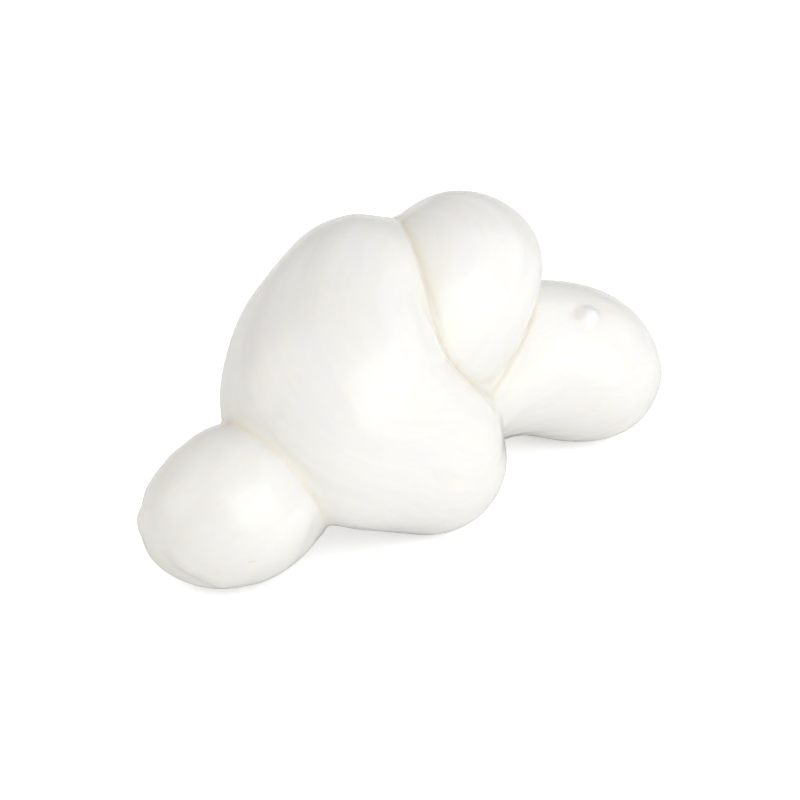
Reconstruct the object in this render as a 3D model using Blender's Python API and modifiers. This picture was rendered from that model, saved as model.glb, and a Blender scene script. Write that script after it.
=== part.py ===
"""Mozzarella knot: one short rope of pulled curd tied in a single overhand knot.

The piece is one closed solid. A chain of overlapping ellipsoids follows the rope
through the knot, a voxel remesh joins them into one skin, and each point of that
skin is then moved onto a smooth rule for pressed dough: full where the rope is
free, rolled inwards along a crease where one turn of the rope meets another, and
flat where the cheese rests on the table.

Sizes below are in millimetres; the mesh is built in metres, +Z up, with the long
axis on X and the base centred on the origin.
"""

import math

import bmesh
import bpy
import numpy as np
from mathutils import Matrix

MM = 0.001
TINY = 1e-9  # keeps a division by nothing away

# The route is set out facing the two front turns of the knot squarely: across
# (left to right), deep (away from the front) and up. TURN brings the two ends
# onto the X axis afterwards.
TURN = math.radians(39.0)

# name of the station, across, deep, up, half width, half thickness
ROUTE = (
    ("near end, tip", -26.9, -21.2, 8.9, 7.8, 7.7),
    ("near end, round", -22.6, -19.7, 10.0, 10.9, 10.5),
    ("near end, root", -18.5, -14.0, 9.8, 9.4, 9.5),
    ("under the front turn", -11.0, -4.8, 10.8, 6.6, 6.6),
    ("into the core", -3.0, 2.0, 12.5, 8.5, 8.0),
    ("up through the core", 3.0, 9.6, 19.5, 9.8, 8.6),
    ("crown of the second turn", 3.8, 15.0, 25.1, 15.9, 7.9),
    ("second turn, brow", 5.8, 8.6, 26.8, 11.0, 8.2),
    ("second turn, wedge", 2.5, 3.2, 20.2, 7.0, 7.6),
    ("second turn, dive", 1.2, 7.0, 11.0, 5.6, 6.2),
    ("under the far end", 9.0, 15.0, 7.5, 7.0, 7.0),
    ("back, low", 13.0, 23.4, 8.2, 9.2, 9.0),
    ("back, middle", 4.6, 25.6, 12.4, 10.2, 9.2),
    ("back, high", -6.0, 16.6, 20.6, 10.7, 9.5),
    ("shoulder", -8.0, 7.4, 26.0, 12.1, 10.1),
    ("front turn, upper", -10.5, -2.4, 24.2, 13.2, 9.9),
    ("front turn, middle", -9.6, -11.2, 19.6, 14.6, 9.9),
    ("front turn, lower", -3.3, -9.4, 15.4, 11.9, 9.2),
    ("front turn, knee", 4.8, -3.9, 7.7, 8.9, 8.4),
    ("behind the knee", 1.4, 3.6, 10.4, 6.4, 6.4),
    ("far end, neck", 9.2, 10.6, 13.4, 8.5, 8.5),
    ("far end, root", 15.0, 15.4, 12.4, 9.8, 9.6),
    ("far end, round", 20.0, 17.9, 10.6, 10.3, 10.2),
    ("far end, full", 23.5, 18.2, 9.4, 10.4, 10.3),
    ("far end, tip", 26.0, 17.6, 8.2, 8.0, 7.9),
)
HEART = (4.0, 8.0, 10.0)  # the rope lies flat-side out, away from this point
CORE = (2.5, 11.5, 14.5)  # the turns are pressed together around this point
CORE_RADIUS = 11.5
CORE_BLEND = 3.0

# where the warm curd was pressed flat: the way it faces, across, deep and up, and how far out
FLATS = (
    ("shoulder, outer side", -0.763, 0.325, 0.563, 33.6),
)
FLAT_ROUND = 2.5  # how softly a flat runs out into the round

STEP = 0.9  # distance between stations along the finished route
BEAD_EVERY = 2  # one ellipsoid for every second station
OUTWARD_LIFT = 0.35  # keeps the flat side's direction steady at the two ends
TWIST_ROUNDS = 12  # evens out how the flat side turns along the rope

CREASE_DEPTH = 1.6  # how far a crease sinks below the plain meeting of two turns
CREASE_REACH = 5.0  # how far from the crease the rope starts to roll inwards
CREASE_ROUND = 1.6  # softening at the bottom of the crease
SAME_TURN = 15.0  # nearer than this along the rope, it can't crease with itself
NEXT_TURN = 25.0  # farther than this along the rope, it always can
SET_BACK = 14.0  # what keeps a turn from creasing with itself
TAUTNESS = 1.3  # how far the skin bridges the inside of a bend
USUAL_RADIUS = 10.0
EVEN_LENGTH = math.sqrt(2.0 * math.pi * USUAL_RADIUS * TAUTNESS)  # what a straight rope adds

VOXEL = 1.75
CHUNK = 4000  # points worked on at a time
PASSES = 8  # steps that bring a point onto the skin
LONGEST_STEP = 0.5
SLOPE_FLOOR = 0.05  # keeps a step short where the slope fades
SPREAD = 0.5  # share of the way to its neighbours' middle that a point slides
CALM_ROUNDS = 6
CALM_LIMIT = 0.3  # how far a point may stand off from its neighbours' middle
ON_TABLE = 1e-7  # metres; nearer to z = 0 than this counts as on the table

CURD_COLOUR = (0.90, 0.885, 0.83, 1.0)
CURD_ROUGHNESS = 0.35


def clear_scene():
    for old in list(bpy.data.objects):
        bpy.data.objects.remove(old, do_unlink=True)


def face_on_to_row(points):
    """Turns (across, deep, up) into x, y, z."""
    across, deep, up = np.asarray(points, float).T
    x = math.cos(TURN) * across + math.sin(TURN) * deep
    y = -math.sin(TURN) * across + math.cos(TURN) * deep
    return np.stack([x, y, up], axis=1)


def spline(rows, per_span=24):
    """A centripetal curve through every row of numbers."""
    rows = np.vstack([2 * rows[0] - rows[1], rows, 2 * rows[-1] - rows[-2]])
    found = []
    for i in range(1, len(rows) - 2):
        a, b, c, d = rows[i - 1 : i + 3]
        knots = [0.0]
        for p, q in ((a, b), (b, c), (c, d)):
            knots.append(knots[-1] + max(np.linalg.norm((q - p)[:3]) ** 0.5, TINY))
        k0, k1, k2, k3 = knots
        t = (k1 + (k2 - k1) * np.arange(per_span) / per_span)[:, None]
        ab = ((k1 - t) * a + (t - k0) * b) / (k1 - k0)
        bc = ((k2 - t) * b + (t - k1) * c) / (k2 - k1)
        cd = ((k3 - t) * c + (t - k2) * d) / (k3 - k2)
        abc = ((k2 - t) * ab + (t - k0) * bc) / (k2 - k0)
        bcd = ((k3 - t) * bc + (t - k1) * cd) / (k3 - k1)
        found.append(((k2 - t) * abc + (t - k1) * bcd) / (k2 - k1))
    return np.vstack([*found, rows[-2][None]])


def unit(vectors):
    return vectors / (np.linalg.norm(vectors, axis=-1, keepdims=True) + TINY)


def soft_min(a, b, width):
    """The smaller of a and b, rounded where they tie, and the share that b has in it."""
    gap = b - a
    soft = np.sqrt(gap * gap + width * width)
    return 0.5 * (a + b) - 0.5 * soft, 0.5 - 0.5 * gap / soft


class Rope:
    """The rope's stations: centres, along, outward and sideways directions, sizes."""

    def __init__(self):
        rows = np.array([row[1:] for row in ROUTE], float)
        curve = spline(np.hstack([face_on_to_row(rows[:, :3]), rows[:, 3:]]))
        steps = np.linalg.norm(np.diff(curve[:, :3], axis=0), axis=1)
        at = np.concatenate([[0.0], np.cumsum(steps)])
        self.arc = np.linspace(0.0, at[-1], int(at[-1] / STEP) + 1)
        even = np.stack([np.interp(self.arc, at, column) for column in curve.T], 1)
        self.centre, self.wide, self.thick = even[:, :3], even[:, 3], even[:, 4]
        self.along = unit(np.gradient(self.centre, axis=0))
        heart = face_on_to_row([HEART])[0]
        out = unit(self.centre - heart) + np.array([0.0, 0.0, OUTWARD_LIFT])
        out = self.across_rope(out)
        for _ in range(TWIST_ROUNDS):
            out[1:-1] = (out[:-2] + out[1:-1] + out[2:]) / 3.0
            out = self.across_rope(out)
        self.out = out
        self.side = np.cross(self.along, self.out)
        self.long = 0.5 * (self.wide + self.thick)
        self.small = np.minimum(self.wide, self.thick)
        self.frames = (
            (self.along, self.long),
            (self.out, self.thick),
            (self.side, self.wide),
        )

    def across_rope(self, vectors):
        flat = vectors - self.along * (vectors * self.along).sum(1)[:, None]
        return unit(flat)

    def taut(self, values, keep, local, ratio):
        """The softly joined minimum of many stations, and its slope."""
        lowest = values.min(axis=1)
        weight = np.exp((lowest[:, None] - values) / TAUTNESS) * keep
        total = weight.sum(axis=1) + TINY
        pull = weight * self.small / (ratio * total[:, None])
        slope = sum((pull * part / size) @ axis for part, (axis, size) in zip(local, self.frames))
        return lowest - TAUTNESS * np.log(total * STEP / EVEN_LENGTH), slope

    def nearest_two(self, points):
        """Depth and slope of the nearest turn, and of the nearest other turn."""
        found = []
        for start in range(0, len(points), CHUNK):
            part = points[start : start + CHUNK]
            local = [
                (part @ axis.T - (self.centre * axis).sum(1)) / size
                for axis, size in self.frames
            ]
            ratio = np.sqrt(local[0] ** 2 + local[1] ** 2 + local[2] ** 2) + TINY
            depth = (ratio - 1.0) * self.small
            nearest = self.arc[depth.argmin(axis=1)]
            apart = np.abs(self.arc[None] - nearest[:, None])
            ease = np.clip((apart - SAME_TURN) / (NEXT_TURN - SAME_TURN), 0.0, 1.0)
            ease = ease * ease * (3.0 - 2.0 * ease)
            near, near_slope = self.taut(depth, 1.0 - ease, local, ratio)
            other = depth + SET_BACK * (1.0 - ease)
            far, far_slope = self.taut(other, ease, local, ratio)
            found.append((near, near_slope, far, far_slope))
        return [np.concatenate(column) for column in zip(*found)]

    def skin(self, points):
        """How far outside the finished skin each point lies, and the slope of that."""
        near, near_slope, far, far_slope = self.nearest_two(points)
        gap = far - near
        soft = np.sqrt(gap * gap + CREASE_ROUND**2)
        roll = np.clip(1.0 - soft / CREASE_REACH, 0.0, None)
        value = 0.5 * (near + far) - 0.5 * soft + CREASE_DEPTH * roll**2
        pull = (-0.5 - 2.0 * CREASE_DEPTH / CREASE_REACH * roll) * gap / soft
        slope = 0.5 * (near_slope + far_slope) + pull[:, None] * (far_slope - near_slope)
        return self.pressed(points, *self.with_core(points, value, slope))

    def with_core(self, points, value, slope):
        """Closes the hollows between the turns with a ball of curd at the centre."""
        away = points - face_on_to_row([CORE])[0]
        length = np.linalg.norm(away, axis=1) + TINY
        value, share = soft_min(value, length - CORE_RADIUS, CORE_BLEND)
        share = share[:, None]
        return value, (1.0 - share) * slope + share * away / length[:, None]

    def pressed(self, points, value, slope):
        """Flattens what stands out past each pressed flat."""
        for _, *facing, reach in FLATS:
            facing = unit(face_on_to_row([facing])[0])
            value, share = soft_min(-value, reach - points @ facing, FLAT_ROUND)
            value = -value
            share = share[:, None]
            slope = (1.0 - share) * slope + share * facing
        return value, slope

    def settle(self, points, edges):
        """Moves points onto the skin, evenly spread."""
        points = points.copy()
        for turn in range(PASSES):
            value, slope = self.skin(points)
            step = value[:, None] * slope / (np.square(slope).sum(1)[:, None] + SLOPE_FLOOR)
            length = np.linalg.norm(step, axis=1, keepdims=True)
            points -= step * np.minimum(1.0, LONGEST_STEP / (length + TINY))
            if turn < PASSES - 2:
                points += SPREAD * (neighbours_middle(points, edges) - points)
        return calm(points, edges)


def neighbours_middle(points, edges):
    middle = np.zeros_like(points)
    np.add.at(middle, edges[:, 0], points[edges[:, 1]])
    np.add.at(middle, edges[:, 1], points[edges[:, 0]])
    return middle / np.bincount(edges.ravel(), minlength=len(points))[:, None]


def calm(points, edges):
    """Draws in single points that stand off from their neighbours in a narrow crease."""
    for _ in range(CALM_ROUNDS):
        pull = neighbours_middle(points, edges) - points
        off = np.linalg.norm(pull, axis=1, keepdims=True)
        points = points + pull * np.clip(1.0 - CALM_LIMIT / (off + TINY), 0.0, 1.0)
    return points


def bead_chain(rope):
    """Overlapping ellipsoids along the rope, as one mesh object."""
    bm = bmesh.new()
    for i in range(0, len(rope.arc), BEAD_EVERY):
        axes = Matrix((rope.along[i], rope.out[i], rope.side[i])).transposed().to_4x4()
        sizes = (rope.long[i], rope.thick[i], rope.wide[i])
        place = Matrix.Translation(rope.centre[i] * MM) @ axes
        place = place @ Matrix.Diagonal((*(size * MM for size in sizes), 1.0))
        bmesh.ops.create_icosphere(bm, subdivisions=3, radius=1.0, matrix=place)
    core = Matrix.Translation(face_on_to_row([CORE])[0] * MM)
    bmesh.ops.create_icosphere(bm, subdivisions=3, radius=CORE_RADIUS * MM, matrix=core)
    mesh = bpy.data.meshes.new("bead_chain")
    bm.to_mesh(mesh)
    bm.free()
    return mesh


def remeshed(mesh, voxel):
    """One closed skin around everything in the mesh."""
    holder = bpy.data.objects.new("remesh_holder", mesh)
    bpy.context.scene.collection.objects.link(holder)
    modifier = holder.modifiers.new("one_skin", "REMESH")
    modifier.mode = "VOXEL"
    modifier.voxel_size = voxel * MM
    graph = bpy.context.evaluated_depsgraph_get()
    result = bpy.data.meshes.new_from_object(holder.evaluated_get(graph))
    bpy.data.objects.remove(holder, do_unlink=True)
    bpy.data.meshes.remove(mesh)
    return result


def read_points(mesh):
    flat = np.empty(len(mesh.vertices) * 3, np.float32)
    mesh.vertices.foreach_get("co", flat)
    return flat.reshape(-1, 3).astype(float) / MM


def read_edges(mesh):
    flat = np.empty(len(mesh.edges) * 2, np.int32)
    mesh.edges.foreach_get("vertices", flat)
    return flat.reshape(-1, 2)


def write_points(mesh, points):
    mesh.vertices.foreach_set("co", (points * MM).astype(np.float32).ravel())
    mesh.update()


def knot_mesh():
    rope = Rope()
    mesh = remeshed(bead_chain(rope), VOXEL)
    write_points(mesh, rope.settle(read_points(mesh), read_edges(mesh)))
    mesh = remeshed(mesh, VOXEL)
    points = rope.settle(read_points(mesh), read_edges(mesh))
    points[:, 2] = np.maximum(points[:, 2], 0.0)  # flattened where it rests
    middle = 0.5 * (points.min(axis=0) + points.max(axis=0))
    write_points(mesh, points - (middle[0], middle[1], 0.0))
    return mesh


def join_resting_faces(mesh):
    """Makes each flat resting patch one face."""
    bm = bmesh.new()
    bm.from_mesh(mesh)
    for face in bm.faces:
        face.tag = all(abs(vertex.co.z) < ON_TABLE for vertex in face.verts)
    resting = [face for face in bm.faces if face.tag]
    bmesh.ops.dissolve_faces(bm, faces=resting, use_verts=False)
    bmesh.ops.triangulate(bm, faces=[f for f in bm.faces if len(f.verts) > 3])
    bm.to_mesh(mesh)
    bm.free()


def curd_material():
    material = bpy.data.materials.new("fresh_mozzarella")
    material.use_nodes = True
    shader = material.node_tree.nodes["Principled BSDF"]
    shader.inputs["Base Color"].default_value = CURD_COLOUR
    shader.inputs["Roughness"].default_value = CURD_ROUGHNESS
    shader.inputs["Metallic"].default_value = 0.0
    material.diffuse_color = CURD_COLOUR
    return material


def build():
    clear_scene()
    mesh = knot_mesh()
    join_resting_faces(mesh)
    mesh.name = "mozzarella_knot"
    mesh.materials.clear()
    mesh.materials.append(curd_material())
    knot = bpy.data.objects.new("mozzarella_knot", mesh)
    group = bpy.data.collections.new("mozzarella_knot")
    bpy.context.scene.collection.children.link(group)
    group.objects.link(knot)
    return knot


build()
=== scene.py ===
# %% [markdown]
# # Mozzarella knot
#
# A nodino is a short rope of fresh pulled curd, tied while it is still hot and soft
# in a single overhand knot, and then cooled in water. The turns are pressed against
# one another before they set, so they end as full, tight lobes with rolled creases
# between them, and the cut ends round themselves off.
#
# This script makes that skin at about 0.4 mm, finishes it, and lights it on a white
# studio floor. The solid that it stands for comes packed, in metres, in the same
# place and at the same size.

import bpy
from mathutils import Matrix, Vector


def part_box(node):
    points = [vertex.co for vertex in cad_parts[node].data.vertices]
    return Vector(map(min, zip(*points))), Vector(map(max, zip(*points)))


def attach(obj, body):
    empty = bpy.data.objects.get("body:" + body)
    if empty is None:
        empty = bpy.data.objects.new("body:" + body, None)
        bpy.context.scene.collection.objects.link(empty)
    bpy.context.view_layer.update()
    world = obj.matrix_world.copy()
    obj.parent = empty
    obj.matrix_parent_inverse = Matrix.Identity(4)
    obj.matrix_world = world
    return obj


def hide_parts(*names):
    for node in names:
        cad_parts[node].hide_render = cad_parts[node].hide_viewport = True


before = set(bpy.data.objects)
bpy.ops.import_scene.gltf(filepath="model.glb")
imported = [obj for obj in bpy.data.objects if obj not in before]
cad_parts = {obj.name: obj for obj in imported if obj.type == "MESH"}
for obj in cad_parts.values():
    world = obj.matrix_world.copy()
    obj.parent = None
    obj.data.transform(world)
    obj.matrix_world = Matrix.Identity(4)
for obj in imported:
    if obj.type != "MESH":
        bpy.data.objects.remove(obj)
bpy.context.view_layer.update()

# %% The modules and names that the rest of the lesson needs
import math

import bmesh
import bpy
import numpy as np
from mathutils import Matrix, Vector, noise

NODE = "mozzarella_knot"
MM = 0.001
TINY = 1e-9  # keeps a division by a length from failing at zero
print(f"Blender {bpy.app.version_string}")

# %% [markdown]
# ## Where the rope goes
#
# An overhand knot is one rope, so the best way to model it is as one rope: a route
# of named stations, each with the rope's half width and half thickness there. The
# lobes, the creases and the way the far side closes all follow from the route. The
# other ways are to sculpt the lobes as separate balls, which never meet like turns
# of one rope, or to simulate the tying, which gives no say in where a lobe ends up.
#
# The route is set out looking squarely at the two front turns: across from left to
# right, deep away from the eye, and up. A turn of 39 degrees afterwards brings the
# two ends onto the X axis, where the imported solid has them.

# %% The stations of the route, in millimetres
# name of the station, across, deep, up, half width, half thickness
ROUTE = (
    ("near end, tip", -26.9, -21.2, 8.9, 7.8, 7.7),
    ("near end, round", -22.6, -19.7, 10.0, 10.9, 10.5),
    ("near end, root", -18.5, -14.0, 9.8, 9.4, 9.5),
    ("under the front turn", -11.0, -4.8, 10.8, 6.6, 6.6),
    ("into the core", -3.0, 2.0, 12.5, 8.5, 8.0),
    ("up through the core", 3.0, 9.6, 19.5, 9.8, 8.6),
    ("crown of the second turn", 3.8, 15.0, 25.1, 15.9, 7.9),
    ("second turn, brow", 5.8, 8.6, 26.8, 11.0, 8.2),
    ("second turn, wedge", 2.5, 3.2, 20.2, 7.0, 7.6),
    ("second turn, dive", 1.2, 7.0, 11.0, 5.6, 6.2),
    ("under the far end", 9.0, 15.0, 7.5, 7.0, 7.0),
    ("back, low", 13.0, 23.4, 8.2, 9.2, 9.0),
    ("back, middle", 4.6, 25.6, 12.4, 10.2, 9.2),
    ("back, high", -6.0, 16.6, 20.6, 10.7, 9.5),
    ("shoulder", -8.0, 7.4, 26.0, 12.1, 10.1),
    ("front turn, upper", -10.5, -2.4, 24.2, 13.2, 9.9),
    ("front turn, middle", -9.6, -11.2, 19.6, 14.6, 9.9),
    ("front turn, lower", -3.3, -9.4, 15.4, 11.9, 9.2),
    ("front turn, knee", 4.8, -3.9, 7.7, 8.9, 8.4),
    ("behind the knee", 1.4, 3.6, 10.4, 6.4, 6.4),
    ("far end, neck", 9.2, 10.6, 13.4, 8.5, 8.5),
    ("far end, root", 15.0, 15.4, 12.4, 9.8, 9.6),
    ("far end, round", 20.0, 17.9, 10.6, 10.3, 10.2),
    ("far end, full", 23.5, 18.2, 9.4, 10.4, 10.3),
    ("far end, tip", 26.0, 17.6, 8.2, 8.0, 7.9),
)
HEART = (4.0, 8.0, 10.0)  # the rope lies flat-side out, away from this point
CORE = (2.5, 11.5, 14.5)  # the turns are pressed together around this point

# where the warm curd was pressed flat: direction across, deep, up, and how far out
FLATS = (
    ("shoulder, outer side", -0.763, 0.325, 0.563, 33.6),
)
FLAT_ROUND = 2.5  # how softly a flat runs out into the round
print(f"{len(ROUTE)} stations and {len(FLATS)} flat")

# %% From the route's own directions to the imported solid's
TURN = math.radians(39.0)


def to_row(points):
    """Turns (across, deep, up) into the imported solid's x, y, z, still in millimetres."""
    across, deep, up = np.asarray(points, float).T
    x = math.cos(TURN) * across + math.sin(TURN) * deep
    y = -math.sin(TURN) * across + math.cos(TURN) * deep
    return np.stack([x, y, up], axis=1)


def unit(vectors):
    return vectors / (np.linalg.norm(vectors, axis=-1, keepdims=True) + TINY)


print("the core, mm:", to_row([CORE])[0].round(1))

# %% [markdown]
# ## From stations to a rope
#
# A centripetal spline runs through every station without overshooting where they
# are close together. The rope's sizes ride along it as two more coordinates. The
# curve is then cut into even steps, and each step gets three directions: along the
# rope, outward from the knot's heart, and sideways. The half width lies sideways
# and the half thickness outward, so a turn lies flat against what it is tied round.

# %% One curve through the stations
PER_SPAN = 24  # points between two stations, before the even steps are cut
CENTRIPETAL = 0.5  # the power of a span's length that spaces the knots of the spline
SHORTEST_SPACE = 1e-6


def spline(rows):
    """A curve through all rows; the first three columns say how far apart they are."""
    rows = np.vstack([2 * rows[0] - rows[1], rows, 2 * rows[-1] - rows[-2]])
    found = []
    for i in range(1, len(rows) - 2):
        a, b, c, d = rows[i - 1 : i + 3]
        knots = [0.0]
        for p, q in ((a, b), (b, c), (c, d)):
            space = np.linalg.norm((q - p)[:3]) ** CENTRIPETAL
            knots.append(knots[-1] + max(space, SHORTEST_SPACE))
        k0, k1, k2, k3 = knots
        t = (k1 + (k2 - k1) * np.arange(PER_SPAN) / PER_SPAN)[:, None]
        ab = ((k1 - t) * a + (t - k0) * b) / (k1 - k0)
        bc = ((k2 - t) * b + (t - k1) * c) / (k2 - k1)
        cd = ((k3 - t) * c + (t - k2) * d) / (k3 - k2)
        abc = ((k2 - t) * ab + (t - k0) * bc) / (k2 - k0)
        bcd = ((k3 - t) * bc + (t - k1) * cd) / (k3 - k1)
        found.append(((k2 - t) * abc + (t - k1) * bcd) / (k2 - k1))
    return np.vstack([*found, rows[-2][None]])


rows = np.array([row[1:] for row in ROUTE], float)
curve = spline(np.hstack([to_row(rows[:, :3]), rows[:, 3:]]))
print(f"the curve has {len(curve)} points")

# %% Even steps, with their directions and sizes
STEP = 0.9  # along the rope
STEADY_UP = 0.35  # keeps the flat side's direction steady at the two ends
TWIST_ROUNDS = 12  # evens out how the flat side turns along the rope


class Rope:
    """Even steps along the rope, with their directions and sizes."""

    def __init__(self, curve):
        steps = np.linalg.norm(np.diff(curve[:, :3], axis=0), axis=1)
        at = np.concatenate([[0.0], np.cumsum(steps)])
        self.arc = np.linspace(0.0, at[-1], int(at[-1] / STEP) + 1)
        even = np.stack([np.interp(self.arc, at, column) for column in curve.T], 1)
        self.centre, self.wide, self.thick = even[:, :3], even[:, 3], even[:, 4]
        self.along = unit(np.gradient(self.centre, axis=0))
        out = unit(self.centre - to_row([HEART])[0]) + np.array([0.0, 0.0, STEADY_UP])
        self.out = self.square_to_rope(out)
        for _ in range(TWIST_ROUNDS):
            smooth = self.out.copy()
            smooth[1:-1] = (self.out[:-2] + self.out[1:-1] + self.out[2:]) / 3.0
            self.out = self.square_to_rope(smooth)
        self.side = np.cross(self.along, self.out)
        self.long = 0.5 * (self.wide + self.thick)
        self.small = np.minimum(self.wide, self.thick)
        self.frames = (
            (self.along, self.long),
            (self.out, self.thick),
            (self.side, self.wide),
        )

    def square_to_rope(self, vectors):
        return unit(vectors - self.along * (vectors * self.along).sum(1)[:, None])


rope = Rope(curve)
print(f"the rope is {rope.arc[-1]:.0f} mm long in {len(rope.arc)} steps")

# %% [markdown]
# ## A rule for pressed dough
#
# Every step of the rope is a small ellipsoid, and the rope is what they all cover.
# Where one turn of it meets another, two things happen in the real cheese. The soft
# curd is pressed into the bottom of the valley between the turns, and the two skins
# stay apart, so a narrow crease with rolled edges is left. The rule below does the
# same: it takes the nearest turn and the nearest other turn, fills the valley where
# the two are close to a tie, and cuts the crease into that filling. A ball at the
# core closes the hollow that the turns leave between them.
#
# A rule like this beats a Boolean join, which leaves a knife-sharp line, and a metaball,
# which melts the turns into one another with no crease at all.

# %% Many steps of the rope as one taut skin
TAUTNESS = 1.3  # how far the skin bridges the inside of a bend
USUAL_RADIUS = 10.0  # the rope's own, in most places
EVEN_LENGTH = math.sqrt(2.0 * math.pi * USUAL_RADIUS * TAUTNESS)  # what a straight rope adds
NO_WEIGHT = 1e-12  # stands in for the steps' weight where none of them counts


def smoothstep(low, high, value):
    share = np.clip((value - low) / (high - low), 0.0, 1.0)
    return share * share * (3.0 - 2.0 * share)


def taut(values, lowest, keep, local, ratio):
    """The softly joined minimum of many steps of the rope, and its slope."""
    weight = np.exp((lowest[:, None] - values) / TAUTNESS) * keep
    total = weight.sum(axis=1) + NO_WEIGHT
    pull = weight * rope.small / (ratio * total[:, None])
    slope = sum((pull * part / size) @ axis for part, (axis, size) in zip(local, rope.frames))
    return lowest - TAUTNESS * np.log(total * STEP / EVEN_LENGTH), slope


print(f"{EVEN_LENGTH:.1f} mm of a straight rope count at one point of its skin")

# %% The nearest turn, and the nearest other turn
SAME_TURN = 15.0  # nearer than this along the rope, it can't crease with itself
NEXT_TURN = 25.0  # farther than this along the rope, it always can
SET_BACK = 14.0  # what keeps a turn from creasing with itself
CHUNK = 5000  # points worked on at a time, to save memory


def nearest_two(points):
    """Depth and slope of the nearest turn, and of the nearest other turn."""
    found = []
    for start in range(0, len(points), CHUNK):
        part = points[start : start + CHUNK]
        local = [
            (part @ axis.T - (rope.centre * axis).sum(1)) / size
            for axis, size in rope.frames
        ]
        ratio = np.sqrt(local[0] ** 2 + local[1] ** 2 + local[2] ** 2) + TINY
        depth = (ratio - 1.0) * rope.small
        nearest = rope.arc[depth.argmin(axis=1)][:, None]
        apart = np.abs(rope.arc[None] - nearest)
        ease = smoothstep(SAME_TURN, NEXT_TURN, apart)
        other = depth + SET_BACK * (1.0 - ease)
        near, near_slope = taut(depth, depth.min(axis=1), 1.0 - ease, local, ratio)
        far, far_slope = taut(other, other.min(axis=1), ease, local, ratio)
        found.append((near, near_slope, far, far_slope))
    return [np.concatenate(column) for column in zip(*found)]


heart_near, _, heart_far, _ = nearest_two(to_row([HEART]))
print(f"the heart lies {-heart_near[0]:.1f} mm in one turn and {-heart_far[0]:.1f} mm in another")

# %% Soft joins for the core and the flats
def soft_min(a, b, width):
    """The smaller of a and b, rounded where they tie, and the share that b has in it."""
    gap = b - a
    soft = np.sqrt(gap * gap + width * width)
    return 0.5 * (a + b) - 0.5 * soft, 0.5 - 0.5 * gap / soft


def soft_max(a, b, width):
    value, share = soft_min(-a, -b, width)
    return -value, share


flats = []
for _, *facing, reach in FLATS:
    flats.append((unit(to_row([facing])[0]), reach))
print("the flat faces", flats[0][0].round(2))

# %% The skin: full turns, rolled creases, a closed heart
FILL_REACH = 1.4  # how close to a crease the pressed curd fills the valley
CREASE_DEPTH = 0.55  # how far the crease itself is cut into that filling
CREASE_REACH = 0.9  # how close to the crease the skin rolls in
CREASE_ROUND = 0.2  # softening at the bottom of the crease
CORE_RADIUS = 11.5  # the ball that closes the hollow
CORE_BLEND = 3.0  # how softly that ball joins the turns


def skin(points):
    """How far outside the skin each point lies, and the slope of that distance."""
    near, near_slope, far, far_slope = nearest_two(points)
    gap = far - near
    soft = np.sqrt(gap * gap + CREASE_ROUND**2)
    # both shares run from 1 at the tie to 0 at their reach; squared, they end smoothly
    fill = np.clip(1.0 - soft / FILL_REACH, 0.0, None)
    roll = np.clip(1.0 - soft / CREASE_REACH, 0.0, None)
    value = 0.5 * (near + far - soft) - 0.25 * FILL_REACH * fill**2 + CREASE_DEPTH * roll**2
    # how the value changes as the two turns part
    pull = (0.5 * (fill - 1.0) - 2.0 * CREASE_DEPTH / CREASE_REACH * roll) * gap / soft
    slope = 0.5 * (near_slope + far_slope) + pull[:, None] * (far_slope - near_slope)
    away = points - to_row([CORE])[0]
    length = np.linalg.norm(away, axis=1) + TINY
    value, share = soft_min(value, length - CORE_RADIUS, CORE_BLEND)
    share = share[:, None]
    slope = (1.0 - share) * slope + share * away / length[:, None]
    for facing, reach in flats:
        value, share = soft_max(value, points @ facing - reach, FLAT_ROUND)
        share = share[:, None]
        slope = (1.0 - share) * slope + share * facing
    return value, slope


print(f"the core lies {-skin(to_row([CORE]))[0][0]:.1f} mm below the skin")

# %% [markdown]
# ## Beads, one skin, and settling
#
# The mesh starts as a chain of overlapping beads, which is quick and can't go wrong.
# A voxel remesh turns the chain into one closed skin with even faces. Each point then
# slides onto the rule above, first on a coarse mesh, which finds the creases, and then
# on a fine one, which draws them.

# %% A chain of beads
BEAD_EVERY = 2  # one bead to so many steps of the rope
BEAD_DETAIL = 3  # how often the faces of a bead are divided


def bead_chain():
    """Overlapping ellipsoids along the rope, and the ball at its core."""
    bm = bmesh.new()
    for i in range(0, len(rope.arc), BEAD_EVERY):
        axes = Matrix((rope.along[i], rope.out[i], rope.side[i])).transposed().to_4x4()
        sizes = [size * MM for size in (rope.long[i], rope.thick[i], rope.wide[i])]
        place = Matrix.Translation(rope.centre[i] * MM) @ axes
        place = place @ Matrix.Diagonal((*sizes, 1.0))
        bmesh.ops.create_icosphere(bm, subdivisions=BEAD_DETAIL, radius=1.0, matrix=place)
    core = Matrix.Translation(to_row([CORE])[0] * MM)
    radius = CORE_RADIUS * MM
    bmesh.ops.create_icosphere(bm, subdivisions=BEAD_DETAIL, radius=radius, matrix=core)
    mesh = bpy.data.meshes.new("bead_chain")
    bm.to_mesh(mesh)
    bm.free()
    print(f"bead chain: {len(mesh.vertices)} points")
    return mesh


# %% One closed skin around everything
def remeshed(mesh, voxel):
    """The mesh as one closed skin, with even faces about as wide as the voxel."""
    holder = bpy.data.objects.new("remesh_holder", mesh)
    bpy.context.scene.collection.objects.link(holder)
    modifier = holder.modifiers.new("one_skin", "REMESH")
    modifier.mode = "VOXEL"
    modifier.voxel_size = voxel * MM
    graph = bpy.context.evaluated_depsgraph_get()
    result = bpy.data.meshes.new_from_object(holder.evaluated_get(graph))
    bpy.data.objects.remove(holder, do_unlink=True)
    bpy.data.meshes.remove(mesh)
    print(f"remeshed at {voxel} mm: {len(result.vertices)} points")
    return result


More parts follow.
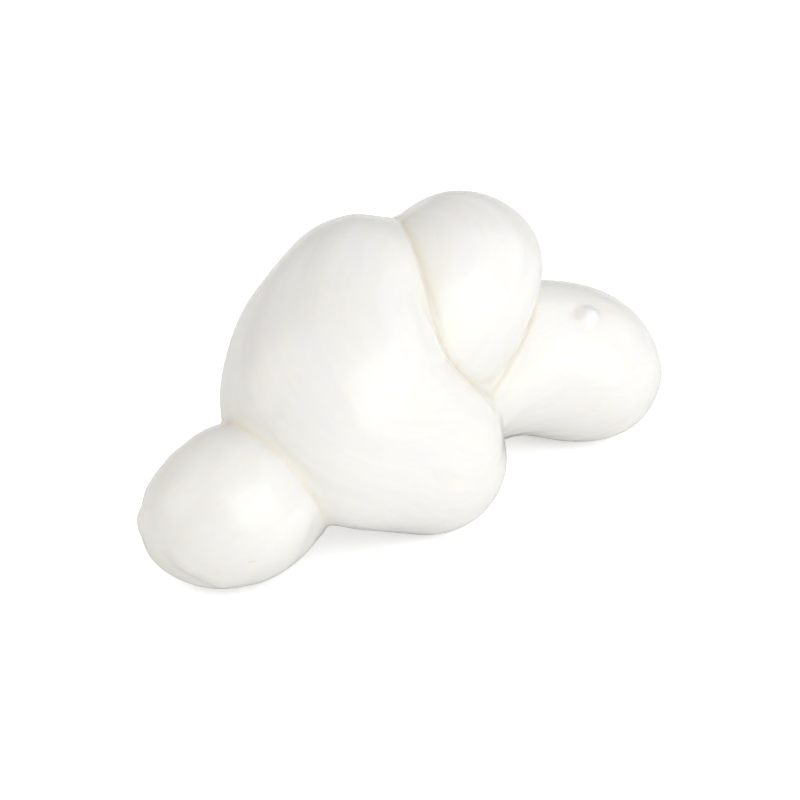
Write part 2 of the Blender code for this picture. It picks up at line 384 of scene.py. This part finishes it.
# %% Points and edges in and out of a mesh, in millimetres
def read_points(mesh):
    flat = np.empty(len(mesh.vertices) * 3, np.float32)
    mesh.vertices.foreach_get("co", flat)
    return flat.reshape(-1, 3).astype(float) / MM


def read_edges(mesh):
    flat = np.empty(len(mesh.edges) * 2, np.int32)
    mesh.edges.foreach_get("vertices", flat)
    return flat.reshape(-1, 2)


def write_points(mesh, points):
    mesh.vertices.foreach_set("co", (points * MM).astype(np.float32).ravel())
    mesh.update()


# %% Slide the points onto the rule
LONGEST_STEP = 0.5  # of one slide, so that no point jumps over a crease
SLOPE_FLOOR = 0.05  # keeps a step short where the rule is nearly level
STILL_TURNS = 2  # the last turns only slide, so the points end on the skin


def neighbours_middle(points, edges, count):
    middle = np.zeros_like(points)
    for axis in range(3):
        column = points[:, axis]
        middle[:, axis] = np.bincount(edges[:, 0], column[edges[:, 1]], len(points))
        middle[:, axis] += np.bincount(edges[:, 1], column[edges[:, 0]], len(points))
    return middle / count


def settle(points, edges, turns, spread):
    """Slides the points onto the skin, and evens out their spacing in between."""
    points = points.copy()
    count = np.bincount(edges.ravel(), minlength=len(points))[:, None]
    for turn in range(turns):
        value, slope = skin(points)
        step = value[:, None] * slope / (np.square(slope).sum(1)[:, None] + SLOPE_FLOOR)
        length = np.linalg.norm(step, axis=1, keepdims=True)
        points -= step * np.minimum(1.0, LONGEST_STEP / (length + TINY))
        if turn < turns - STILL_TURNS:
            points += spread * (neighbours_middle(points, edges, count) - points)
    print(f"settled: mean distance left {np.abs(value).mean():.3f} mm")
    return points


# %% Draw in the single points that stand off in a narrow crease
CALM_ROUNDS = 6


def calm(points, edges, limit):
    """Limits how far, in mm, a point may stand off from its neighbours' middle."""
    count = np.bincount(edges.ravel(), minlength=len(points))[:, None]
    for _ in range(CALM_ROUNDS):
        pull = neighbours_middle(points, edges, count) - points
        off = np.linalg.norm(pull, axis=1, keepdims=True)
        points = points + pull * np.clip(1.0 - limit / (off + TINY), 0.0, 1.0)
    return points


# %% Coarse first, then fine
# voxel size, turns of settling, share of the way to the neighbours' middle, calm limit
COARSE = (1.1, 8, 0.5, 0.2)
FINE = (0.36, 5, 0.4, 0.03)

knot_mesh = bead_chain()
for voxel, turns, spread, limit in (COARSE, FINE):
    knot_mesh = remeshed(knot_mesh, voxel)
    edges = read_edges(knot_mesh)
    points = calm(settle(read_points(knot_mesh), edges, turns, spread), edges, limit)
    write_points(knot_mesh, points)

# %% [markdown]
# ## The marks of pulling and tying
#
# Pulled curd is a bundle of long fibres under a thin, stretched skin. Along the rope
# it shows shallow lumps, flatter facets where fingers held it, and fine ridges that
# run with the fibres. At the near end, where the rope was pinched off, the ridges run
# round the end instead. All of this is real height, because it shows in the outline
# and it breaks up the edges of a reflection.
#
# Each point gets its place in the strand: how far along, how far out, how far to the
# side. Noise in those coordinates stretches along the fibres wherever the rope turns,
# which noise in plain space can't do.

# %% Each point's place in the strand
def strand_place(points):
    """Along, out and side, in mm, shared out smoothly between the nearest steps."""
    found = []
    for start in range(0, len(points), CHUNK):
        part = points[start : start + CHUNK]
        beside = [part @ axis.T - (rope.centre * axis).sum(1) for axis, _ in rope.frames]
        ratio = np.sqrt(sum((d / size) ** 2 for d, (_, size) in zip(beside, rope.frames)))
        depth = (ratio - 1.0) * rope.small
        nearest = rope.arc[depth.argmin(axis=1)][:, None]
        keep = 1.0 - smoothstep(SAME_TURN, NEXT_TURN, np.abs(rope.arc[None] - nearest))
        share = np.exp((depth.min(axis=1)[:, None] - depth) / TAUTNESS) * keep
        share /= share.sum(axis=1)[:, None]
        beside[0] = beside[0] + rope.arc
        found.append(np.stack([(share * d).sum(axis=1) for d in beside], axis=1))
    return np.concatenate(found)


strand = strand_place(points)
near, _, far, _ = nearest_two(points)
print("strand from", strand.min(axis=0).round(1), "to", strand.max(axis=0).round(1))

# %% Lumps, facets, ridges and rings, in millimetres
LUMP_SIZE = 12.0  # alike in all directions
LUMP_HEIGHT = 0.30
# the others: size along the rope, outward and sideways, and where the noise is read
FACET_SIZE = (15.0, 5.0, 5.0)
FACET_HEIGHT = 0.22
FACET_SHIFT = 7.0
RIDGE_SIZE = (9.0, 1.9, 1.9)
RIDGE_HEIGHT = 0.06
RIDGE_SHIFT = 3.0
RING_SIZE = (2.6, 9.0, 9.0)
RING_HEIGHT = 0.17
RING_SHIFT = 11.0
RING_FADE = (6.0, 16.0)  # along the rope from the near end
CREASE_QUIET = 1.2  # the height fades out this close to a crease


def noise_at(where, size, shift=0.0):
    """Smooth noise between about -1 and 1, with waves of the given size."""
    scaled = where / np.asarray(size) + shift
    return np.array([noise.noise(row) for row in scaled.tolist()])


rings = 1.0 - smoothstep(*RING_FADE, strand[:, 0])
height = LUMP_HEIGHT * noise_at(points, LUMP_SIZE)
height += FACET_HEIGHT * noise_at(strand, FACET_SIZE, FACET_SHIFT)
height += RIDGE_HEIGHT * (1.0 - rings) * noise_at(strand, RIDGE_SIZE, RIDGE_SHIFT)
height += RING_HEIGHT * rings * noise_at(strand, RING_SIZE, RING_SHIFT)
height *= smoothstep(0.0, CREASE_QUIET, far - near)
print("skin height, mm:", height.min().round(2), "to", height.max().round(2))

# %% [markdown]
# ### Marks with a place of their own
#
# A small nub stands on the far end, where a thread of curd broke off, with a hollow beside it.
# The near end has a point where it was pinched off, and below it a lip of skin that was folded
# under. They are single marks, so each is given at its distance across, deep and up, and not left
# to noise.

# %% Nub, hollow and point
# name, across, deep, up, radius, height
MARKS = (
    ("nub of a broken thread", 23.9, 13.5, 20.0, 1.45, 1.05),
    ("hollow beside the nub", 21.9, 13.6, 19.9, 0.9, -0.35),
    ("pinched point", -33.3, -22.6, 10.2, 1.9, 0.5),
)
SKIRT = 3.0  # how steep the sides of a mark are

for name, across, deep, high, radius, rise in MARKS:
    distance = np.linalg.norm(points - to_row([(across, deep, high)])[0], axis=1)
    height += rise * np.exp(-((distance / radius) ** SKIRT))
    print(f"{name}: nearest skin {distance.min():.2f} mm away")

# %% Where the fold runs, as a line of stations on the skin
FOLD = (
    (-31.4, -26.4, 8.9),
    (-30.2, -27.2, 7.7),
    (-29.0, -27.6, 6.3),
    (-27.2, -27.7, 5.1),
    (-25.1, -27.3, 3.8),
)
FOLD_BELOW = (-0.6, 0.3, -0.7)  # towards the lip's lower side


def beside_fold(points):
    """Distance from the fold, the side it is on, and how far along the fold it is."""
    path = to_row(FOLD)
    below = unit(to_row([FOLD_BELOW])[0])
    best = np.full(len(points), np.inf)
    side = np.zeros(len(points))
    run = np.zeros(len(points))
    for i in range(len(path) - 1):
        span = path[i + 1] - path[i]
        share = np.clip((points - path[i]) @ span / (span @ span), 0.0, 1.0)
        apart = points - path[i] - share[:, None] * span
        distance = np.linalg.norm(apart, axis=1)
        closer = distance < best
        best[closer] = distance[closer]
        side[closer] = -np.sign(apart[closer] @ below)
        run[closer] = (i + share[closer]) / (len(path) - 1)
    return best, side, run


from_fold, fold_side, fold_run = beside_fold(points)
across_fold = from_fold * fold_side
print(f"fold: nearest skin {from_fold.min():.2f} mm away")

# %% The lip that was folded under, in millimetres
GROOVE = (1.3, -0.10)  # width and height of the groove itself
LOWER_SIDE = (3.2, -0.45)  # the skin below it lies lower: how wide, how high
LOWER_EDGE = (1.0, -1.2)  # the step down to it starts above the fold and ends below
RIDGE_ABOVE = (1.9, 0.8, 0.16)  # a soft ridge above it: where, how wide, how high
FOLD_START = (0.0, 0.25)  # share of the fold's length over which it sets in
FOLD_END = (0.8, 1.0)  # and over which it weakens
FOLD_END_LOSS = 0.5

fade = smoothstep(*FOLD_START, fold_run) * (1.0 - FOLD_END_LOSS * smoothstep(*FOLD_END, fold_run))
fold = GROOVE[1] * np.exp(-((across_fold / GROOVE[0]) ** 2))
lower = LOWER_SIDE[1] * np.exp(-((from_fold / LOWER_SIDE[0]) ** 2))
fold += lower * smoothstep(*LOWER_EDGE, across_fold)
fold += RIDGE_ABOVE[2] * np.exp(-(((across_fold - RIDGE_ABOVE[0]) / RIDGE_ABOVE[1]) ** 2))
height += fade * fold
print(f"fold: {fold.min():.2f} to {fold.max():.2f} mm")

# %% Raise the skin by that height, and flatten what lies below the table onto it
normals = np.empty(len(points) * 3, np.float32)
knot_mesh.vertices.foreach_get("normal", normals)
points = points + height[:, None] * normals.reshape(-1, 3)
points[:, 2] = np.maximum(points[:, 2], 0.0)
write_points(knot_mesh, points)
print(f"{(points[:, 2] == 0.0).sum()} points rest on the table")

# %% [markdown]
# ## What the material has to know
#
# The finish changes along the fibres and in the creases. The mesh knows both, so each point
# carries them as attributes: its place in the strand, how near it is to a crease, which sets a
# painted warm glow, and whether it is in the crease's own line, which sets a painted dark line of
# shade. The near end lies loosest against the turn beside it, so the painted warm light there
# keeps to a narrower band.

# %% Hand the strand and the creases to the material
# painted light and shade in the creases: how far the painted warm glow and the painted dark line
# reach
PAINTED_GLOW_FADE = (0.35, 1.1)  # mm of gap over which warmth fades: near end, rest
PAINTED_SHADE_LINE_FADE = 0.38  # mm of gap over which the dark line itself fades
LOOSE_END = (20.0, 45.0)  # along the rope from the near end, which lies loosest


def give(name, kind, key, values):
    """Stores one value, or one vector, for each point of the mesh."""
    layer = knot_mesh.attributes.new(name, kind, "POINT")
    layer.data.foreach_set(key, np.ascontiguousarray(values, np.float32).ravel())


give("strand", "FLOAT_VECTOR", "vector", strand)
loose = 1.0 - smoothstep(*LOOSE_END, strand[:, 0])
painted_glow_reach = PAINTED_GLOW_FADE[0] * loose + PAINTED_GLOW_FADE[1] * (1.0 - loose)
give("painted_crease_glow", "FLOAT", "value", np.exp(-np.abs(far - near) / painted_glow_reach))
give("painted_crease_shade_line", "FLOAT", "value", np.exp(-(((far - near) / PAINTED_SHADE_LINE_FADE) ** 2)))
print("attributes:", [layer.name for layer in knot_mesh.attributes])

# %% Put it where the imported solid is
low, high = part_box(NODE)
middle = 0.5 * (points.min(axis=0) + points.max(axis=0))
offset = np.array([0.5 * (low[0] + high[0]), 0.5 * (low[1] + high[1]), 0.0]) / MM
offset[:2] -= middle[:2]
points = points + offset
write_points(knot_mesh, points)
print("knot, mm:", points.min(axis=0).round(2), points.max(axis=0).round(2))

knot = bpy.data.objects.new("pulled_curd_knot", knot_mesh)
bpy.context.scene.collection.objects.link(knot)
knot_mesh.shade_smooth()
print("triangles:", sum(len(face.vertices) - 2 for face in knot_mesh.polygons))

# %% [markdown]
# ## Fresh mozzarella
#
# Pulled curd is mostly water, fat and protein in long fibres. Light goes in a few millimetres and
# comes out again, a little warmer, so the lobes look soft and the creases glow instead of going
# dark; a painted warm glow in the creases adds to that. The skin is wet with whey, which gives a
# broad soft gloss. A plain white paint would go grey in the shade, so the curd is made by
# subsurface scattering, and the film of whey is a thin coat over it.

# %% Colours and nodes
def linear(hex_colour):
    """An sRGB hex colour as the linear RGBA that shaders take."""
    values = [int(hex_colour[i : i + 2], 16) / 255 for i in (1, 3, 5)]
    return [
        *(v / 12.92 if v <= 0.04045 else ((v + 0.055) / 1.055) ** 2.4 for v in values),
        1.0,
    ]


def add(tree, kind, settings=None, **links):
    """Adds a node, sets its properties and inputs, and links what is given."""
    node = tree.nodes.new(kind)
    for name, value in (settings or {}).items():
        if isinstance(name, str) and hasattr(node, name):
            setattr(node, name, value)
        else:
            node.inputs[name].default_value = value
    for name, source in links.items():
        key = name.replace("_", " ")
        tree.links.new(source, node.inputs[key])
    return node


print("middle grey, linear:", round(linear("#808080")[0], 3))

# %% The curd's body and its wet skin
CURD = {
    "IOR": 1.44,  # between whey, 1.34, and milk fat, 1.46
    "Subsurface Weight": 1.0,
    "Subsurface Scale": 3.0 * MM,  # how far light travels below the skin
    "Subsurface Radius": (1.0, 0.9, 0.72),  # blue travels least, so the shade is warm
    "Coat Weight": 0.9,
    "Coat Roughness": 0.15,  # the film of whey is smooth, the skin below it less so
    "Coat IOR": 1.36,
}

curd = bpy.data.materials.new("fresh_mozzarella_pulled_curd_wet_with_whey")
curd.use_nodes = True
tree = curd.node_tree
shader = tree.nodes["Principled BSDF"]
for name, value in CURD.items():
    shader.inputs[name].default_value = value
shader.subsurface_method = "RANDOM_WALK"

place = add(tree, "ShaderNodeTexCoord")
fibres = add(tree, "ShaderNodeAttribute", {"attribute_name": "strand"})
painted_glow_node = add(tree, "ShaderNodeAttribute", {"attribute_name": "painted_crease_glow"})
painted_shade_line_node = add(tree, "ShaderNodeAttribute", {"attribute_name": "painted_crease_shade_line"})
print(curd.name)

# %% [markdown]
# ### White, cream and streaks
#
# Fresh curd is white with a little cream in it, because fat isn't spread evenly. The
# patches are as wide as a fingertip's press. Where the rope was drawn out, the fibres
# lie in streaks that are a shade duller. The colours are close together, because the
# eye should find them only after the shape.

# %% Broad creamy patches
CURD_WHITE = "#faf9f5"
CURD_CREAM = "#f9f7f2"
PATCH_SIZE = 9.0  # mm across
PATCH_RANGE = (0.45, 0.7)  # where in the noise cream begins, and is at its most
MOST_CREAM = 0.7

patches = add(
    tree,
    "ShaderNodeTexNoise",
    {"Scale": 1.0 / (PATCH_SIZE * MM), "Detail": 2.0, "Roughness": 0.45},
    Vector=place.outputs["Object"],
)
patch_share = add(
    tree,
    "ShaderNodeMapRange",
    {"From Min": PATCH_RANGE[0], "From Max": PATCH_RANGE[1], "To Min": 0.0, "To Max": MOST_CREAM},
    Value=patches.outputs["Fac"],
)
body = add(
    tree,
    "ShaderNodeMixRGB",
    {"Color1": linear(CURD_WHITE), "Color2": linear(CURD_CREAM)},
    Fac=patch_share.outputs["Result"],
)
print(f"creamy patches, {PATCH_SIZE} mm across")

# %% Streaks where the curd was drawn out
CURD_DRAWN = "#f7f5f1"
STREAK_SIZE = (12.0, 2.0, 2.0)  # mm along the rope, outward and sideways
STREAK_RANGE = (0.40, 0.66)

drawn_out = add(
    tree,
    "ShaderNodeMapping",
    {"Scale": [1.0 / size for size in STREAK_SIZE]},
    Vector=fibres.outputs["Vector"],
)
streaks = add(
    tree,
    "ShaderNodeTexNoise",
    {"Scale": 1.0, "Detail": 4.0, "Roughness": 0.6, "Distortion": 0.6},
    Vector=drawn_out.outputs["Vector"],
)
streak_share = add(
    tree,
    "ShaderNodeMapRange",
    {"From Min": STREAK_RANGE[0], "From Max": STREAK_RANGE[1], "To Min": 0.0, "To Max": 1.0},
    Value=streaks.outputs["Fac"],
)
streaked = add(
    tree,
    "ShaderNodeMixRGB",
    {"Color2": linear(CURD_DRAWN)},
    Fac=streak_share.outputs["Result"],
    Color1=body.outputs["Color"],
)
print(f"streaks, {STREAK_SIZE[0]} mm long and {STREAK_SIZE[1]} mm wide")

# %% Painted shade: a greenish grey darkens the near end, which lies in shade
# painted shade: a greenish grey that darkens the near end
NEAR_END_PAINTED_SHADE = "#e6eae9"
NEAR_END_SHADE_RANGE = (14.0, 30.0)  # mm along the rope over which the grey fades out
MOST_NEAR_END_SHADE = 0.3

along = add(tree, "ShaderNodeSeparateXYZ", Vector=fibres.outputs["Vector"])
near_end_shade_share = add(
    tree,
    "ShaderNodeMapRange",
    {"From Min": NEAR_END_SHADE_RANGE[0], "From Max": NEAR_END_SHADE_RANGE[1], "To Min": MOST_NEAR_END_SHADE, "To Max": 0.0},
    Value=along.outputs["X"],
)
with_near_end_shade = add(
    tree,
    "ShaderNodeMixRGB",
    {"Color2": linear(NEAR_END_PAINTED_SHADE)},
    Fac=near_end_shade_share.outputs["Result"],
    Color1=streaked.outputs["Color"],
)
print(f"greyer up to {NEAR_END_SHADE_RANGE[1]} mm from the near end")

# %% [markdown]
# ### Painted crease light and shade, and a fleck
#
# The creases are painted: a soft warm glow stands in for the light that bounces between their
# walls, and a thin darker line in the middle is painted shade. The fleck is a tan crumb that
# dried on the near end. It is a stretched ball of colour, placed in the piece's own space, so
# that it stays put in every view.

# %% Painted warm glow and painted shade line in the creases
# painted light and shade: a warm cream glow and a brown line of shade along the creases
PAINTED_GLOW_CREAM = "#f2e8cc"
PAINTED_SHADE_LINE_BROWN = "#e2d3b4"
MOST_PAINTED_GLOW = 0.28
MOST_PAINTED_SHADE_LINE = 0.13

painted_glow_share = add(tree, "ShaderNodeMath", {"operation": "MULTIPLY", 1: MOST_PAINTED_GLOW})
tree.links.new(painted_glow_node.outputs["Fac"], painted_glow_share.inputs[0])
with_painted_glow = add(
    tree,
    "ShaderNodeMixRGB",
    {"Color2": linear(PAINTED_GLOW_CREAM)},
    Fac=painted_glow_share.outputs["Value"],
    Color1=with_near_end_shade.outputs["Color"],
)
painted_shade_line_share = add(tree, "ShaderNodeMath", {"operation": "MULTIPLY", 1: MOST_PAINTED_SHADE_LINE})
tree.links.new(painted_shade_line_node.outputs["Fac"], painted_shade_line_share.inputs[0])
with_painted_crease_shade = add(
    tree,
    "ShaderNodeMixRGB",
    {"Color2": linear(PAINTED_SHADE_LINE_BROWN)},
    Fac=painted_shade_line_share.outputs["Value"],
    Color1=with_painted_glow.outputs["Color"],
)
print(f"creases: {MOST_PAINTED_GLOW:.0%} glow, {MOST_PAINTED_SHADE_LINE:.0%} line")

# %% A faint tan fleck
FLECK_TAN = "#eedcc6"
FLECK_AT = (-19.4, -28.6, 7.9)  # across, deep, up
FLECK_SIZE = (0.55, 1.2, 0.17)  # half sizes across, deep and up, in mm
FLECK_RANGE = (0.6, 1.4)  # share of the half sizes at which it starts and ends fading
MOST_FLECK = 0.5

fleck_point = to_row([FLECK_AT])[0] + offset
fleck_place = add(
    tree,
    "ShaderNodeMapping",
    {
        "vector_type": "TEXTURE",
        "Location": tuple(fleck_point * MM),
        "Rotation": (0.0, 0.0, -TURN),
        "Scale": [size * MM for size in FLECK_SIZE],
    },
    Vector=place.outputs["Object"],
)
from_fleck = add(
    tree, "ShaderNodeVectorMath", {"operation": "LENGTH"}, Vector=fleck_place.outputs["Vector"]
)
fleck_share = add(
    tree,
    "ShaderNodeMapRange",
    {"From Min": FLECK_RANGE[0], "From Max": FLECK_RANGE[1], "To Min": MOST_FLECK, "To Max": 0.0},
    Value=from_fleck.outputs["Value"],
)
flecked = add(
    tree,
    "ShaderNodeMixRGB",
    {"Color2": linear(FLECK_TAN)},
    Fac=fleck_share.outputs["Result"],
    Color1=with_painted_crease_shade.outputs["Color"],
)
tree.links.new(flecked.outputs["Color"], shader.inputs["Base Color"])
print("fleck at, mm:", fleck_point.round(1))

# %% [markdown]
# ### Fibres and the film of whey
#
# The finest fibres are too small to be worth points of their own, so they are a bump
# that follows the strand. Real ones are about 0.1 mm apart, and these are drawn at
# 0.8 mm, as coarse as they need to be to show. The film of whey is thicker in some
# places, so the gloss comes and goes. Its roughness keeps to a narrow range, since
# wet curd has no dry patches.

# %% Fine ridges that run along the rope
FIBRE_SIZE = (8.0, 0.8, 0.8)  # mm along the rope, outward and sideways
FIBRE_HEIGHT = 0.04  # mm

along_fibres = add(
    tree,
    "ShaderNodeMapping",
    {"Scale": [1.0 / size for size in FIBRE_SIZE]},
    Vector=fibres.outputs["Vector"],
)
fibre_noise = add(
    tree,
    "ShaderNodeTexNoise",
    {"Scale": 1.0, "Detail": 3.0, "Roughness": 0.55, "Distortion": 0.3},
    Vector=along_fibres.outputs["Vector"],
)
fibre_bump = add(
    tree,
    "ShaderNodeBump",
    {"Strength": 1.0, "Distance": FIBRE_HEIGHT * MM},
    Height=fibre_noise.outputs["Fac"],
)
tree.links.new(fibre_bump.outputs["Normal"], shader.inputs["Normal"])
print(f"fibres, {FIBRE_SIZE[1]} mm apart")

# %% The film of whey
FILM_SIZE = 5.0  # mm across
FILM_RANGE = (0.35, 0.65)
FILM_ROUGHNESS = (0.29, 0.38)

film = add(
    tree,
    "ShaderNodeTexNoise",
    {"Scale": 1.0 / (FILM_SIZE * MM), "Detail": 3.0, "Roughness": 0.5},
    Vector=place.outputs["Object"],
)
gloss = add(
    tree,
    "ShaderNodeMapRange",
    {
        "From Min": FILM_RANGE[0],
        "From Max": FILM_RANGE[1],
        "To Min": FILM_ROUGHNESS[0],
        "To Max": FILM_ROUGHNESS[1],
    },
    Value=film.outputs["Fac"],
)
tree.links.new(gloss.outputs["Result"], shader.inputs["Roughness"])
knot_mesh.materials.clear()
knot_mesh.materials.append(curd)
print(f"{curd.name}: {len(tree.nodes)} nodes")

# %% [markdown]
# ## The studio
#
# The knot lies on white paper in a pale room. A large soft light stands to the right
# of the eye, a weaker one behind the knot on that side, one hangs above, and a faintly
# warm one on the left stands in for a white card. The paper glows a little, so that it
# is pure white away from the knot and still takes a contact shadow. That glow is linked
# to the paper alone: on the knot it would wash out the undersides.

# %% White background paper
FLOOR_HALF = 3.0  # metres, half of its side
PAPER_WHITE = "#eaeaea"
PAPER_GLOW = 0.53
PAPER = {
    "Base Color": linear(PAPER_WHITE),
    "Roughness": 0.9,
    "Specular IOR Level": 0.1,
    "Emission Color": linear("#ffffff"),
    "Emission Strength": PAPER_GLOW,
}

floor_mesh = bpy.data.meshes.new("studio_floor")
bm = bmesh.new()
bmesh.ops.create_grid(bm, x_segments=1, y_segments=1, size=FLOOR_HALF)
bm.to_mesh(floor_mesh)
bm.free()
floor = bpy.data.objects.new("studio_floor", floor_mesh)
bpy.context.scene.collection.objects.link(floor)
paper = bpy.data.materials.new("white_background_paper")
paper.use_nodes = True
paper_shader = paper.node_tree.nodes["Principled BSDF"]
for name, value in PAPER.items():
    paper_shader.inputs[name].default_value = value
floor_mesh.materials.append(paper)
glow = bpy.data.collections.new("lit_by_the_paper_glow")
glow.objects.link(floor)
floor.light_linking.receiver_collection = glow
print(f"floor, {2 * FLOOR_HALF:.0f} m square")

# %% Camera at the angle of the photograph
VIEW_AZIMUTH = -TURN  # squarely at the two front turns
VIEW_HEIGHT = math.radians(30.0)
DISTANCE = 1.1  # metres from the knot
FRAME_WIDTH = 0.1032  # metres across the picture, at the knot
AIM = (-0.84, 12.85)  # mm right and up in the picture, from the route's origin
SENSOR = 36.0  # mm
CLIP_START = 0.01  # metres

back = Vector(
    (
        math.sin(VIEW_AZIMUTH) * math.cos(VIEW_HEIGHT),
        -math.cos(VIEW_AZIMUTH) * math.cos(VIEW_HEIGHT),
        math.sin(VIEW_HEIGHT),
    )
)
right = Vector((math.cos(VIEW_AZIMUTH), math.sin(VIEW_AZIMUTH), 0.0))
up = back.cross(right)
target = Vector((*(offset[:2] * MM), 0.0)) + AIM[0] * MM * right + AIM[1] * MM * up
camera = bpy.data.objects.new("camera", bpy.data.cameras.new("camera"))
bpy.context.scene.collection.objects.link(camera)
camera.data.sensor_width = SENSOR
camera.data.lens = SENSOR * DISTANCE / FRAME_WIDTH
camera.data.clip_start = CLIP_START
camera.location = target + DISTANCE * back
camera.rotation_euler = back.to_track_quat("Z", "Y").to_euler()
bpy.context.scene.camera = camera
print(f"lens {camera.data.lens:.0f} mm")

# %% Soft lights
# name, degrees to the camera's right, degrees up, metres away, metres wide, watts, colour
LIGHTS = (
    ("key_softbox", 40, 31, 0.9, 1.0, 4.8, "#ffffff"),
    ("side_softbox", 118, 38, 0.9, 0.7, 1.0, "#ffffff"),
    ("top_softbox", -60, 76, 1.0, 1.2, 0.75, "#ffffff"),
    ("left_reflector", -88, 30, 0.9, 0.7, 1.35, "#fffbf4"),
)


def softbox(name, azimuth, height, distance, size, watts, colour):
    """A square area light that faces the knot."""
    a = VIEW_AZIMUTH + math.radians(azimuth)
    h = math.radians(height)
    away = Vector((math.sin(a) * math.cos(h), -math.cos(a) * math.cos(h), math.sin(h)))
    data = bpy.data.lights.new(name, "AREA")
    data.shape = "SQUARE"
    data.size = size
    data.energy = watts
    data.color = linear(colour)[:3]
    light = bpy.data.objects.new(name, data)
    light.location = away * distance
    light.rotation_euler = away.to_track_quat("Z", "Y").to_euler()
    bpy.context.scene.collection.objects.link(light)


for settings in LIGHTS:
    softbox(*settings)
print(f"{len(LIGHTS)} soft lights")

# %% The pale room, and colours shown as they are
ROOM_COLOUR = "#fffdfa"
ROOM_STRENGTH = 0.49

world = bpy.data.worlds.new("pale_room")
bpy.context.scene.world = world
world.use_nodes = True
room = world.node_tree.nodes["Background"]
room.inputs["Color"].default_value = linear(ROOM_COLOUR)
room.inputs["Strength"].default_value = ROOM_STRENGTH
bpy.context.scene.view_settings.view_transform = "Standard"
bpy.context.scene.view_settings.look = "None"
print("room strength:", ROOM_STRENGTH)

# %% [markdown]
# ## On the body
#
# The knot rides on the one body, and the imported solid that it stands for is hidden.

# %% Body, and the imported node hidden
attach(knot, "root")
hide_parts(NODE)
